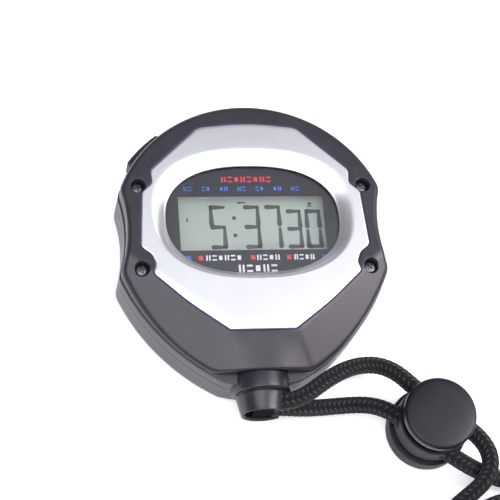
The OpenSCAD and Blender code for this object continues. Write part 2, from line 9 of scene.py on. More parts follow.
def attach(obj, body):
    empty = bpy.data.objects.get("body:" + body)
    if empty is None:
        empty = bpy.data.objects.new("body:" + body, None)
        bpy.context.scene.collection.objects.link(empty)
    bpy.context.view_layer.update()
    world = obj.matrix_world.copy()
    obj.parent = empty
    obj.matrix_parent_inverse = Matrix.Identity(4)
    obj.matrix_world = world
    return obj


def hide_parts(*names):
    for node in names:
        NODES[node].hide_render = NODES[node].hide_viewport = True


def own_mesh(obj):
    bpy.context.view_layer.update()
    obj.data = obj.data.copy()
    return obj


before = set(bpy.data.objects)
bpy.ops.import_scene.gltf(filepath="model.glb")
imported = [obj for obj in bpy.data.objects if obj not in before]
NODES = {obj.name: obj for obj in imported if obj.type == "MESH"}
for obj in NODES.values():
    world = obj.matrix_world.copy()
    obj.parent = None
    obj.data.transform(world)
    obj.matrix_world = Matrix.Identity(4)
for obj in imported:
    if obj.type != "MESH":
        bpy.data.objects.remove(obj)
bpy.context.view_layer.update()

MM = 0.001
scene = bpy.context.scene

# ---- sizes shared with the part's source, in millimetres
CASE_R, CASE_C, FOOT_C = 34.6, (0, -2), (0, -4.2)
WAIST_C, WAIST_R = (66.1, 0.5), 35
FLANK_C, FLANK_R = (-15.431, 8.207), 52
FACE_Z = 19
LENS_C, LENS_HALF = (0, 2.4), (21.6, 14.2)
DISH_C, DISH_HALF = (0, 3.7), (24.6, 17.1)
LCD_Z = 13
SCREWS = [(sx * 27.8, sy * 10.6) for sx in (-1, 1) for sy in (-1, 1)]
BUTTON_Z, BUTTON_W, BUTTON_H = 9.5, 11, 5.8
POST_Z = 9.4
LOCK_C, LOCK_TURN, LOCK_CORD_Z, LOCK_CORD_Y = (41.4, -47.5), radians(-40), 9, 4.2
COIL_C, CORD_D = (62.5, -91.5), 4.2

# ---- sizes of the finish, in millimetres
BRAID_COLUMNS, BRAID_PITCH, BRAID_LEAN = 8, 1.4, 0.8
SHELL_WALL, BARREL_WALL, POST_WALL = 0.8, 1.1, 0.9
HEX_CORNER = 1.73
SEGMENT_HIGH, PRINT_Z, PRINT_HIGH = 0.04, 15.825, 0.03
WELD_GAP, PLANE_GAP = 0.0005, 1e-4

# ---- camera, light and floor
camera = bpy.data.cameras.new("camera")
camera.lens, camera.sensor_width = 115.2, 36
camera_object = bpy.data.objects.new("camera", camera)
camera_object.matrix_world = Matrix((
    (0.98398756, 0.01177653, -0.17784769, -0.069918),
    (-0.07705434, 0.92785949, -0.3648827, -0.146303),
    (0.16072061, 0.37274398, 0.91390963, 0.369190),
    (0, 0, 0, 1)))
scene.collection.objects.link(camera_object)
scene.camera = camera_object
scene.view_settings.view_transform = "Standard"

UPPER_ROUTE = [
    (2.4, -42.4, 11.6), (6, -42.4, 11.6), (10, -40.9, 11.2), (14, -38, 10.1), (18.4, -35, 8.6),
    (23, -32.7, 6.9), (27.4, -31.7, 5.8), (31.3, -32.2, 6), (34.9, -34.9, 7.5), (37.5, -38.6, 8.8),
    (40.4, -41.2, 9), (43.6, -43.9, 9), (47, -46.7, 9), (50, -49.4, 9.1), (53, -52.6, 9.4),
    (54.5, -56.4, 9.8), (53.9, -60.4, 9.9), (51.4, -63.6, 9.2), (47.8, -66, 7.4), (43.8, -68.9, 5.2),
    (39.9, -72.9, 3.4), (36.4, -78.1, 2.3), (34, -84.3, 2.1), (34.3, -91.5, 2.1), (37.2, -99.2, 2.1)]
LOWER_ROUTE = [
    (2.4, -42.4, 7.2), (6, -42.4, 7.2), (10, -42.5, 6.3), (14.2, -42.1, 5), (18.6, -41.6, 4.1),
    (23, -41.4, 4.3), (27, -42, 6), (30.2, -43.7, 7.9), (33, -45.9, 9), (36.1, -48.5, 9),
    (39.9, -51.7, 9), (43.7, -54.9, 9), (45.6, -56.4, 8.9), (48.6, -58, 7.8), (52, -59.2, 5.8),
    (55.6, -60.1, 3.9), (59.4, -61, 2.6), (63.4, -61.6, 2.1), (70.1, -62.9, 2.1), (77.2, -66.4, 4.2),
    (82.8, -72.9, 8.6), (85.8, -80.4, 10.4)]


def coil_route():
    """The turns of the wound lanyard, two side by side and three deep."""
    lays = [(25.1, 2.1), (20.9, 2.1), (20.9, 6.3), (25.1, 6.3), (20.9, 10.5), (25.1, 10.5)]
    start, step = 215, 12
    for turn in range(start, 2160 + 1, step):
        lay, along = divmod(turn - start, 360)
        shift = max(0, (along - 300) / 60)
        shift = shift * shift * (3 - 2 * shift)
        (r0, z0), (r1, z1) = lays[lay], lays[min(lay + 1, len(lays) - 1)]
        r, z = r0 + (r1 - r0) * shift, z0 + (z1 - z0) * shift
        yield COIL_C[0] + r * cos(radians(turn)), COIL_C[1] + r * sin(radians(turn)), z


def smooth_route(points, gap):
    """A smooth line that runs between the points of a route, with samples a gap apart."""
    p = np.array([points[0]] * 2 + list(points) + [points[-1]] * 2, float)
    t = np.linspace(0, 1, 16, endpoint=False)[:, None]
    curve = np.concatenate([((1 - t) ** 3 * p[i] + (3 * t ** 3 - 6 * t ** 2 + 4) * p[i + 1]
                             + (-3 * t ** 3 + 3 * t ** 2 + 3 * t + 1) * p[i + 2] + t ** 3 * p[i + 3]) / 6
                            for i in range(len(p) - 3)] + [p[-1:]])
    far = np.concatenate([[0], np.cumsum(np.linalg.norm(np.diff(curve, axis=0), axis=1))])
    steps = np.linspace(0, far[-1], int(far[-1] / gap) + 1)
    return np.stack([np.interp(steps, far, curve[:, k]) for k in range(3)], 1), far[-1]


def piece(name, bm, material, body, nodes=(), crease=32, scaled=True):
    """Ends a mesh: millimetres to metres, sharp creases, material, and the frame's facts."""
    if scaled:
        bmesh.ops.scale(bm, vec=(MM, MM, MM), verts=bm.verts)
    for e in bm.edges:
        e.smooth = len(e.link_faces) != 2 or e.calc_face_angle(0) < radians(crease)
    for f in bm.faces:
        f.smooth = True
    mesh = bpy.data.meshes.new(name)
    bm.to_mesh(mesh)
    bm.free()
    mesh.materials.append(material)
    made = bpy.data.objects.new(name, mesh)
    scene.collection.objects.link(made)
    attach(made, body)
    if nodes:
        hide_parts(*nodes)
    return made


# ---- materials
def add_node(tree, kind, settings, inputs):
    """A shader node; inputs are values or sockets, keyed by name or as i0, i1 and so on."""
    node = tree.nodes.new("ShaderNode" + kind)
    for key, value in (settings or {}).items():
        setattr(node, key, value)
    for key, value in inputs.items():
        numbered = key[0] == "i" and key[1:].isdigit()
        socket = node.inputs[int(key[1:]) if numbered else key.replace("_", " ")]
        if isinstance(value, bpy.types.NodeSocket):
            tree.links.new(value, socket)
        else:
            socket.default_value = value
    return node


class Nodes:
    """A material under construction, with short ways to add and join its nodes."""

    def __init__(self, name, **sockets):
        self.material = bpy.data.materials.new(name)
        self.material.use_nodes = True
        self.tree = self.material.node_tree
        self.shader = self.tree.nodes["Principled BSDF"]
        for socket, value in sockets.items():
            self.shader.inputs[socket.replace("_", " ")].default_value = value

    def add(self, kind, settings=None, **inputs):
        return add_node(self.tree, kind, settings, inputs)

    def math(self, how, a, b=0.0, c=0.0):
        node = self.add("Math", {"operation": how}, i0=a, i1=b, i2=c)
        return node.outputs[0]

    def place(self):
        return self.add("TexCoord").outputs["Object"]

    def noise(self, size, detail=2.0, stretch=None):
        """Noise whose grains are about the given size in millimetres."""
        place = self.place()
        if stretch:
            place = self.add("Mapping", Vector=place, Scale=stretch).outputs[0]
        return self.add("TexNoise", Vector=place, Scale=1 / (size * MM), Detail=detail).outputs["Fac"]

    def spread(self, value, low, high, to_low, to_high):
        node = self.add("MapRange", Value=value, From_Min=low, From_Max=high, To_Min=to_low,
                        To_Max=to_high)
        return node.outputs[0]

    def blend(self, amount, first, second):
        node = self.add("Mix", {"data_type": "RGBA"}, i0=amount, i6=first, i7=second)
        return node.outputs[2]

    def join(self, value, socket):
        self.tree.links.new(value, self.shader.inputs[socket])

    def bump(self, height, strength, distance):
        node = self.add("Bump", Height=height, Strength=strength, Distance=distance * MM)
        self.join(node.outputs[0], "Normal")


def rgb(r, g, b):
    return (r, g, b, 1)


def moulded(name, tint, rough, grain, depth, speck=0.0, metal=0.0, gloss=0.5, wear=0.12,
            drift=0.03):
    """Moulded or painted plastic: a fine grain, a slow drift of tint and gloss, small bright specks."""
    m = Nodes(name, Metallic=metal, Specular_IOR_Level=gloss)
    fine, slow = m.noise(grain, 3), m.noise(9, 3)
    lighter = tuple(min(1, c * (1 + wear) + 0.002) for c in tint[:3]) + (1,)
    darker = tuple(c * (1 - wear) for c in tint[:3]) + (1,)
    colour = m.blend(m.spread(slow, 0.35, 0.65, 0, 1), darker, lighter)
    if speck:
        dots = m.noise(grain * 1.6, 1)
        bright = tuple(min(1, c * 2.2 + speck) for c in tint[:3]) + (1,)
        colour = m.blend(m.spread(dots, 0.64, 0.74, 0, 1), colour, bright)
    m.join(colour, "Base Color")
    m.join(m.math("ADD", m.spread(fine, 0.3, 0.7, rough - 0.05, rough + 0.05),
                  m.spread(slow, 0.3, 0.7, -drift, drift)), "Roughness")
    m.bump(fine, 0.6, depth)
    return m.material


def metal(name, tint, rough, grain=0.4, stretch=(1, 1, 8), depth=0.01):
    """Bare metal with fine drawn marks and a slow drift of gloss."""
    m = Nodes(name, Metallic=1.0)
    drawn, slow = m.noise(grain, 4, stretch), m.noise(3, 3)
    dull = tuple(c * 0.8 for c in tint[:3]) + (1,)
    m.join(m.blend(m.spread(slow, 0.35, 0.65, 0, 1), dull, tint), "Base Color")
    m.join(m.spread(drawn, 0.3, 0.7, rough - 0.06, rough + 0.08), "Roughness")
    m.bump(drawn, 0.3, depth)
    return m.material


def braid():
    """The lanyard's braid: diagonal picks that cross in pairs, with pale worn flecks on them."""
    m = Nodes("cord_black", Roughness=0.8, Specular_IOR_Level=0.25, Sheen_Weight=0.08,
              Sheen_Roughness=0.5)
    split = m.add("SeparateXYZ", Vector=m.add("UVMap", {"uv_map": "along"}).outputs[0])
    around, along = split.outputs[0], split.outputs[1]
    column = m.math("MULTIPLY", around, BRAID_COLUMNS)
    side = m.math("FRACT", column)
    odd = m.math("FLOOR", m.math("MODULO", column, 2))
    lean = m.math("MULTIPLY_ADD", odd, 2, -1)
    pick = m.math("FRACT", m.math("MULTIPLY_ADD", m.math("MULTIPLY", side, lean), BRAID_LEAN,
                                  m.math("DIVIDE", along, BRAID_PITCH * MM)))
    ridge = m.math("SINE", m.math("MULTIPLY", pick, pi))
    across = m.math("SINE", m.math("MULTIPLY", side, pi))
    height = m.math("MULTIPLY", m.math("POWER", ridge, 0.7), m.math("POWER", across, 0.45))
    yarn = m.noise(0.16, 3)
    strands = m.math("SINE", m.math("MULTIPLY", m.math("ADD", side, m.math("MULTIPLY", pick, 0.6)),
                                    40))
    worn = m.math("MULTIPLY", m.spread(height, 0.78, 0.98, 0, 1), m.spread(yarn, 0.45, 0.6, 0, 1))
    # painted shade: the base colour is darker in the hollows between the picks and lighter on their crests
    colour = m.blend(m.spread(height, 0.1, 0.8, 0, 1), rgb(0.003, 0.0025, 0.004),
                     rgb(0.010, 0.0085, 0.013))
    m.join(m.blend(m.math("MULTIPLY", worn, 0.8), colour, rgb(0.16, 0.14, 0.115)), "Base Color")
    fibre = m.math("MULTIPLY_ADD", strands, 0.08, m.math("MULTIPLY", yarn, 0.25))
    m.bump(m.math("ADD", height, fibre), 0.9, 0.3)
    return m.material


BLACK_CASE = moulded("case_black", rgb(0.0195, 0.0195, 0.0275), 0.33, 0.16, 0.009, speck=0.012)
BLACK_BUTTON = moulded("button_black", rgb(0.018, 0.019, 0.028), 0.38, 0.2, 0.008)
BLACK_POST = moulded("post_black", rgb(0.019, 0.018, 0.026), 0.31, 0.22, 0.008)
BLACK_LOCK = moulded("lock_black", rgb(0.008, 0.007, 0.013), 0.36, 0.3, 0.006, gloss=0.3)
# the clamp is black, and is made darker and duller than the other black parts as painted shade inside the
# post's open mouth
CLAMP_SHADE = moulded("clamp_black_mouth_shade", rgb(0.003, 0.003, 0.004), 0.9, 0.3, 0.01, gloss=0.05)
BLACK_BARREL = moulded("lock_barrel_black", rgb(0.009, 0.008, 0.014), 0.5, 0.3, 0.006, gloss=0.22)
BLACK_TIE = moulded("tie_black", rgb(0.012, 0.012, 0.013), 0.6, 0.4, 0.05)
BLACK_MASK = moulded("mask_black", rgb(0.012, 0.011, 0.02), 0.35, 0.5, 0.002)
SILVER = moulded("face_silver", rgb(0.755, 0.765, 0.785), 0.31, 0.12, 0.002, metal=0.85, wear=0.01,
                 drift=0.004)
# dark violet: painted shade of the gap round the face plate
GAP_SHADE = moulded("plate_gap_shade", rgb(0.06, 0.045, 0.22), 0.5, 0.3, 0.002)
FRAME_WHITE = moulded("frame_white", rgb(0.7, 0.7, 0.67), 0.5, 0.3, 0.01)
ZEBRA = moulded("zebra_pink", rgb(0.7, 0.3, 0.36), 0.6, 0.1, 0.01)
BOARD = moulded("board_green", rgb(0.02, 0.16, 0.06), 0.35, 0.3, 0.006)
EPOXY = moulded("epoxy_black", rgb(0.01, 0.01, 0.01), 0.25, 0.8, 0.01)
SCREW = metal("screw_black", rgb(0.17, 0.17, 0.19), 0.38)
TIN = metal("tin_metal", rgb(0.62, 0.61, 0.58), 0.3)
BRASS = metal("brass", rgb(0.75, 0.55, 0.25), 0.3)
CELL = metal("cell_steel", rgb(0.7, 0.7, 0.7), 0.25, stretch=(1, 8, 1))
SPRING = metal("spring_steel", rgb(0.6, 0.6, 0.6), 0.25)
CORD = braid()


def glass(name, tint, rough):
    """Clear moulded plastic with faint flow marks."""
    m = Nodes(name, Base_Color=tint, Transmission_Weight=1.0, IOR=1.45)
    m.join(m.spread(m.noise(4, 3), 0.3, 0.7, rough, rough + 0.015), "Roughness")
    m.bump(m.noise(6, 2), 0.05, 0.01)
    return m.material


def display(name, tint, rough, fine):
    """The display's glass or its segments: a fine dot of polariser film and a slow drift of tint."""
    m = Nodes(name, Specular_IOR_Level=0.3)
    dots, slow = m.noise(fine, 1), m.noise(14, 2)
    dark = tuple(c * 0.93 for c in tint[:3]) + (1,)
    m.join(m.blend(m.spread(m.math("ADD", dots, slow), 0.8, 1.2, 0, 1), dark, tint), "Base Color")
    m.join(m.spread(dots, 0.3, 0.7, rough, rough + 0.1), "Roughness")
    m.bump(dots, 0.1, 0.004)
    return m.material


LENS = glass("lens_clear", rgb(0.96, 0.97, 1), 0.015)
LCD_GREY = display("lcd_grey", rgb(0.52, 0.6, 0.5), 0.35, 0.15)
LCD_DARK = display("lcd_dark", rgb(0.1, 0.105, 0.115), 0.4, 0.15)


# direction, where the patch starts, where it is full, and how bright it is
SKY_PATCHES = [
    ((0.15, -0.1, 0.98), 0.8, 0.95, 1.4),
    ((0.15, -0.65, 0.75), 0.8, 0.97, 0.2),
    ((0.66, 0.25, 0.71), 0.93, 0.99, 3.0),
    ((-0.33, -0.24, 0.91), 0.88, 0.98, 3.2),
    ((0.1, 1.0, 0.12), 0.85, 1.0, 0.5),
    ((-0.75, -0.6, 0.25), 0.7, 1.0, 0.35)]


def lamp(name, towards, far, size, power, tint=(1, 1, 1)):
    """A softbox in the given direction from the object, facing it."""
    light = bpy.data.lights.new(name, "AREA")
    light.shape, light.size, light.size_y = "RECTANGLE", size[0], size[1]
    light.energy, light.color = power, tint
    box = bpy.data.objects.new(name, light)
    away = Vector(towards).normalized()
    box.location = away * far + Vector((0.01, -0.02, 0))
    box.rotation_euler = away.to_track_quat("Z", "Y").to_euler()
    scene.collection.objects.link(box)


lamp("right_box", (0.66, -0.05, 0.74), 0.7, (0.2, 0.42), 2.8, (1, 0.87, 0.91))
lamp("front_box", (0.1, -0.75, 0.66), 0.8, (0.35, 0.2), 0.2)

world = bpy.data.worlds.new("studio")
scene.world = world
world.use_nodes = True
sky = world.node_tree


def sky_node(kind, settings=None, **inputs):
    return add_node(sky, kind, settings, inputs)


def glow(towards, edge, full, amount, total):
    """A soft round patch of light in the studio's ceiling, added to the rest."""
    near = sky_node("VectorMath", {"operation": "DOT_PRODUCT"}, i0=SKY,
                    i1=Vector(towards).normalized())
    part = sky_node("MapRange", {"interpolation_type": "SMOOTHSTEP"}, i0=near.outputs["Value"],
                    i1=edge, i2=full, i3=0.0, i4=amount)
    return sky_node("Math", i0=part.outputs[0], i1=total).outputs[0]


SKY = sky_node("TexCoord").outputs["Generated"]
light = 0.2
for towards, edge, full, amount in SKY_PATCHES:
    light = glow(towards, edge, full, amount, light)
background = sky.nodes["Background"]
background.inputs["Color"].default_value = (0.93, 0.95, 1, 1)
sky.links.new(light, background.inputs["Strength"])

floor_mesh = bmesh.new()
bmesh.ops.create_grid(floor_mesh, x_segments=4, y_segments=4, size=1.5)
bmesh.ops.translate(floor_mesh, vec=(0, 0, -0.0003), verts=floor_mesh.verts)
floor_data = bpy.data.meshes.new("floor")
floor_mesh.to_mesh(floor_data)
floor_mesh.free()
floor = bpy.data.objects.new("floor", floor_data)
scene.collection.objects.link(floor)
floor_paint = Nodes("floor_white", Roughness=0.9, Specular_IOR_Level=0.1)
floor_tint = floor_paint.blend(floor_paint.noise(60, 2), rgb(0.93, 0.93, 0.94), rgb(0.95, 0.95, 0.96))
floor_paint.join(floor_tint, "Base Color")
floor_paint.shader.inputs["Emission Color"].default_value = (1, 1, 1, 1)
floor_paint.shader.inputs["Emission Strength"].default_value = 0.42
floor_data.materials.append(floor_paint.material)

# ---- the lanyard
CORD_SIDES, CORD_GAP = 32, 0.42
line, cord_length = smooth_route(UPPER_ROUTE + list(coil_route()) + LOWER_ROUTE[::-1], CORD_GAP)


def skin(rows, closed=True, flip=False):
    """A grid bent over rows of places, each row a ring round the piece; the ring's ends are joined."""
    rows = np.asarray(rows, float)
    if closed:
        rows = np.concatenate([rows, rows[:, :1]], axis=1)
    bm = bmesh.new()
    bmesh.ops.create_grid(bm, x_segments=rows.shape[1] - 1, y_segments=rows.shape[0] - 1, size=1)
    bm.verts.ensure_lookup_table()
    for v, place in zip(bm.verts, rows.reshape(-1, 3)):
        v.co = place
    if flip:
        bmesh.ops.reverse_faces(bm, faces=bm.faces)
    return bm


def weld(bm):
    """Joins the places where a skin meets itself."""
    bmesh.ops.remove_doubles(bm, verts=bm.verts, dist=WELD_GAP)
    return bm


def everything(bm):
    return bm.faces[:] + bm.edges[:] + bm.verts[:]


def turned(bm, angle, axis="Z"):
    bmesh.ops.rotate(bm, cent=(0, 0, 0), matrix=Matrix.Rotation(angle, 3, axis), verts=bm.verts)


def braid_relief(turn, far):
    """How far the braid's surface stands out at each side of a ring, from 0 to 1."""
    column = turn * BRAID_COLUMNS
    side = column % 1
    pick = (far / BRAID_PITCH + side * BRAID_LEAN * (2 * np.floor(column % 2) - 1)) % 1
    return np.sin(pi * pick) ** 0.7 * np.sin(pi * side) ** 0.45


def lanyard():
    ahead = np.gradient(line, axis=0)
    ahead /= np.linalg.norm(ahead, axis=1)[:, None]
    across = np.cross((0, 0, 1), ahead[0])
    turns = np.arange(CORD_SIDES) / CORD_SIDES
    gap = cord_length / (len(line) - 1)
    rows = []
    for i, centre in enumerate(line):
        across = across - ahead[i] * across.dot(ahead[i])
        across /= np.linalg.norm(across)
        up = np.cross(ahead[i], across)
        r = CORD_D / 2 - 0.12 + 0.14 * braid_relief(turns, i * gap)
        rows.append(centre + (r * np.cos(tau * turns))[:, None] * across
                    + (r * np.sin(tau * turns))[:, None] * up)
    bm = skin(rows)
    along = bm.loops.layers.uv.new("along")
    for f in bm.faces:
        for corner in f.loops:
            row, side = divmod(corner.vert.index, CORD_SIDES + 1)
            corner[along].uv = side / CORD_SIDES, row * gap * MM
    weld(bm)
    bmesh.ops.holes_fill(bm, edges=[e for e in bm.edges if e.is_boundary], sides=0)
    bmesh.ops.recalc_face_normals(bm, faces=bm.faces)
    return piece("lanyard_cord", bm, CORD, "root",
                 ("upper_strand", "lower_strand", "cord_coil"), crease=180)


lanyard_cord = lanyard()

# ---- outlines, as distances from a hub along rays
HUB = np.array((0.0, -1.0))
RAYS = 600
TURN = np.arange(RAYS) * tau / RAYS
RAY_X, RAY_Y = np.cos(TURN), np.sin(TURN)


def arc(centre, r, a0, a1, steps):
    t = np.radians(np.linspace(a0, a1, steps + 1)[1:])
    return list(zip(centre[0] + r * np.cos(t), centre[1] + r * np.sin(t)))


def heading(a, b):
    return np.degrees(np.arctan2(b[1] - a[1], b[0] - a[0]))


def meet(c1, r1, c2, r2, side):
    dx, dy = c2[0] - c1[0], c2[1] - c1[1]
    gap = np.hypot(dx, dy)
    along = (r1 * r1 - r2 * r2 + gap * gap) / (2 * gap)
    off = side * np.sqrt(r1 * r1 - along * along)
    return c1[0] + (along * dx - off * dy) / gap, c1[1] + (along * dy + off * dx) / gap


def case_outline(margin):
    """The case seen from the front, drawn in by a margin."""
    r, w, f, k = CASE_R - margin, WAIST_R + margin, FLANK_R - margin, max(4 - margin, 0.6)
    ear, hip = meet(CASE_C, r - k, WAIST_C, w + k, 1), meet(FLANK_C, f - k, WAIST_C, w + k, -1)
    toe = meet(FLANK_C, f - k, FOOT_C, r - k, -1)
    half = ([(0, CASE_C[1] + r)] + arc(CASE_C, r, 90, heading(CASE_C, ear), 60)
            + arc(ear, k, heading(CASE_C, ear), heading(ear, WAIST_C), 12)
            + arc(WAIST_C, w, heading(WAIST_C, ear) % 360, heading(WAIST_C, hip) % 360, 30)
            + arc(hip, k, heading(hip, WAIST_C), heading(FLANK_C, hip), 12)
            + arc(FLANK_C, f, heading(FLANK_C, hip), heading(FLANK_C, toe), 40)
            + arc(toe, k, heading(FLANK_C, toe), heading(FOOT_C, toe), 12)
            + arc(FOOT_C, r, heading(FOOT_C, toe), -90, 20))
    return half + [(-x, y) for x, y in half[::-1] if x > 0.001]


def rounded(corners, steps=8):
    made = []
    for i, (x, y, r) in enumerate(corners):
        p, a, b = (np.array(q[:2]) for q in (corners[i], corners[i - 1], corners[(i + 1) % len(corners)]))
        u, v = (a - p) / np.linalg.norm(a - p), (b - p) / np.linalg.norm(b - p)
        half = np.arccos(u @ v) / 2
        c = p + (u + v) / np.linalg.norm(u + v) * r / sin(half)
        a0 = heading(c, p + u * r / np.tan(half))
        sweep = (heading(c, p + v * r / np.tan(half)) - a0 + 540) % 360 - 180
        made += arc(c, r, a0 - sweep / steps, a0 + sweep, steps + 1)
    return made


PLATE_HALF = [
    (0, 27.6, 60), (12.2, 26.2, 4), (24.6, 14.6, 1.6), (24.3, 11.2, 1.8), (26.9, 8.9, 1.6),
    (27.9, -5.2, 1.6), (25.4, -7.2, 1.4), (24.5, -9.6, 1.8), (25.2, -12, 1.2), (17.2, -19.4, 60),
    (7.9, -26.4, 0.8)]


def oval(centre, half, power=2.4):
    t = np.linspace(0, tau, 721)[:-1]
    c, s = np.cos(t), np.sin(t)
    return np.stack([centre[0] + half[0] * np.sign(c) * np.abs(c) ** (2 / power),
                     centre[1] + half[1] * np.sign(s) * np.abs(s) ** (2 / power)], 1)


def reach(outline):
    """How far each ray goes from the hub to a closed outline."""
    p = np.asarray(outline) - HUB
    turn = np.arctan2(p[:, 1], p[:, 0]) % tau
    turn, first = np.unique(np.round(turn, 9), return_index=True)
    p = p[first]
    turn = np.concatenate([[turn[-1] - tau], turn, [turn[0] + tau]])
    p = np.concatenate([p[-1:], p, p[:1]])
    i = np.searchsorted(turn, TURN, side="right") - 1
    a, d = p[i], p[i + 1] - p[i]
    return (a[:, 0] * d[:, 1] - a[:, 1] * d[:, 0]) / (RAY_X * d[:, 1] - RAY_Y * d[:, 0])


def smooth_min(a, b, k):
    """The lower of two values, with the change between them rounded over k."""
    h = np.clip(0.5 + 0.5 * (b - a) / k, 0, 1)
    return b * (1 - h) + a * h - k * h * (1 - h)


def xy(far):
    return HUB[0] + far * RAY_X, HUB[1] + far * RAY_Y


def deck(x, y):
    """The height of the front face: nearly flat, with three facets that fall towards the post."""
    z = FACE_Z - 0.5 * np.clip((y - 4) / 28, 0, 1) ** 2
    down = np.clip(-26.4 - y, 0, None)
    crown = 0.2 * down * np.clip(1 - (x / (7.9 + 0.3625 * down)) ** 2, 0, None)
    z = smooth_min(z, FACE_Z + 0.4245 * (y + 26.4) + crown, 0.45)
    for side in (-1, 1):
        z = smooth_min(z, FACE_Z - 0.4245 * (0.64 * (side * x - 7.9) - 0.768 * (y + 26.4)), 0.45)
    return z


def ring(far, z):
    """A ring of places at a height, each as far out as its ray says."""
    x, y = xy(far)
    return np.stack([x, y, np.broadcast_to(z, x.shape)], 1)


def deck_ring(far, sunk=0.0):
    """A ring that follows the front face, or lies sunk under it."""
    x, y = xy(far)
    return np.stack([x, y, deck(x, y) - sunk], 1)


def panel(margin):
    """The front panel's edge: the case outline, cut straight above the post."""
    far = reach(case_outline(margin))
    straight = np.where(RAY_Y < -0.3, (-34.9 + margin) / np.where(RAY_Y < -0.3, RAY_Y, -1), 99)
    return smooth_min(far, straight, 0.9)


CASE_EDGE = {m: reach(case_outline(m)) for m in (0, 0.15, 0.25, 1.5, 3, 6)}
PANEL_EDGE = {m: panel(m) for m in (0.25, 0.5, 1.45)}
PLATE_EDGE = reach(rounded(PLATE_HALF + [(-x, y, r) for x, y, r in PLATE_HALF[:0:-1]]))
DISH_EDGE, LENS_EDGE = reach(oval(DISH_C, DISH_HALF)), reach(oval(LENS_C, LENS_HALF))


def box_cut(bm, near, planes, inside):
    """Opens a hole: planes split the faces near it, and the faces inside all of them go."""
    faces = [f for f in bm.faces if near(f.calc_center_median())]
    edges = {e for f in faces for e in f.edges}
    verts = {v for f in faces for v in f.verts}
    shapes = faces + list(edges) + list(verts)
    for co, no in planes:
        shapes = bmesh.ops.bisect_plane(bm, geom=shapes, plane_co=co, plane_no=no,
                                        dist=PLANE_GAP)["geom"]
    gone = [f for f in shapes if isinstance(f, bmesh.types.BMFace) and inside(f.calc_center_median())]
    rim = {e for f in gone for e in f.edges}
    bmesh.ops.delete(bm, geom=gone, context="FACES")
    return [e for e in rim if e.is_valid and e.is_boundary]


def sink(bm, edges, steps):
    """Carries a hole's rim on through steps, each a function that places a vertex."""
    for step in steps:
        made = bmesh.ops.extrude_edge_only(bm, edges=edges)["geom"]
        for g in made:
            if isinstance(g, bmesh.types.BMVert):
                g.co = step(g.co)
        fresh = {g for g in made if isinstance(g, bmesh.types.BMVert)}
        edges = [g for g in made if isinstance(g, bmesh.types.BMEdge)
                 and g.verts[0] in fresh and g.verts[1] in fresh]
    return edges


def screw_recess(bm, x, y):
    """A round well for a screw head, with a rolled lip."""
    centre, sides, r = Vector((x, y, 0)), 28, 2.0
    planes = [(centre + r * Vector((cos(tau * k / sides), sin(tau * k / sides), 0)),
               (cos(tau * k / sides), sin(tau * k / sides), 0)) for k in range(sides)]
    rim = box_cut(bm, lambda c: (c.xy - centre.xy).length < 3.1 and c.z > 17, planes,
                  lambda c: (c.xy - centre.xy).length < r)

    def place(radius, z=None, fall=0.0):
        def move(co):
            out = (co.xy - centre.xy).normalized() * radius
            return Vector((x + out.x, y + out.y, co.z - fall if z is None else z))
        return move
    sink(bm, rim, [place(1.86, fall=0.05), place(1.76, fall=0.16), place(1.7, fall=0.4),
                   place(1.66, z=16.25), place(1.05, z=16.2)])


def button_window(bm, turn, low, high):
    """The opening for a button, from one height to another."""
    out, side = Vector((cos(turn), sin(turn), 0)), Vector((-sin(turn), cos(turn), 0))
    hub, half = Vector((0, CASE_C[1], 0)), BUTTON_W / 2 + 0.25
    planes = [(hub + side * half, side), (hub - side * half, side),
              (Vector((0, 0, low)), (0, 0, 1)), (Vector((0, 0, high)), (0, 0, 1))]
    box_cut(bm, lambda c: (c - hub).dot(out) > 25 and abs((c - hub).dot(side)) < half + 1.5
            and low - 2 < c.z < high + 2, planes,
            lambda c: (c - hub).dot(out) > 25 and abs((c - hub).dot(side)) < half and low < c.z < high)


BUTTON_TURNS = {"start": radians(45), "reset": radians(135), "mode": radians(90)}
WINDOW_LOW, WINDOW_HIGH = BUTTON_Z - BUTTON_H / 2 - 0.25, BUTTON_Z + BUTTON_H / 2 + 0.2


def wall(made, thickness, inward=-1):
    """Gives a sheet its thickness, behind its outer face."""
    thick = made.modifiers.new("wall", "SOLIDIFY")
    thick.thickness, thick.offset, thick.use_rim = thickness * MM, inward, True
    return made


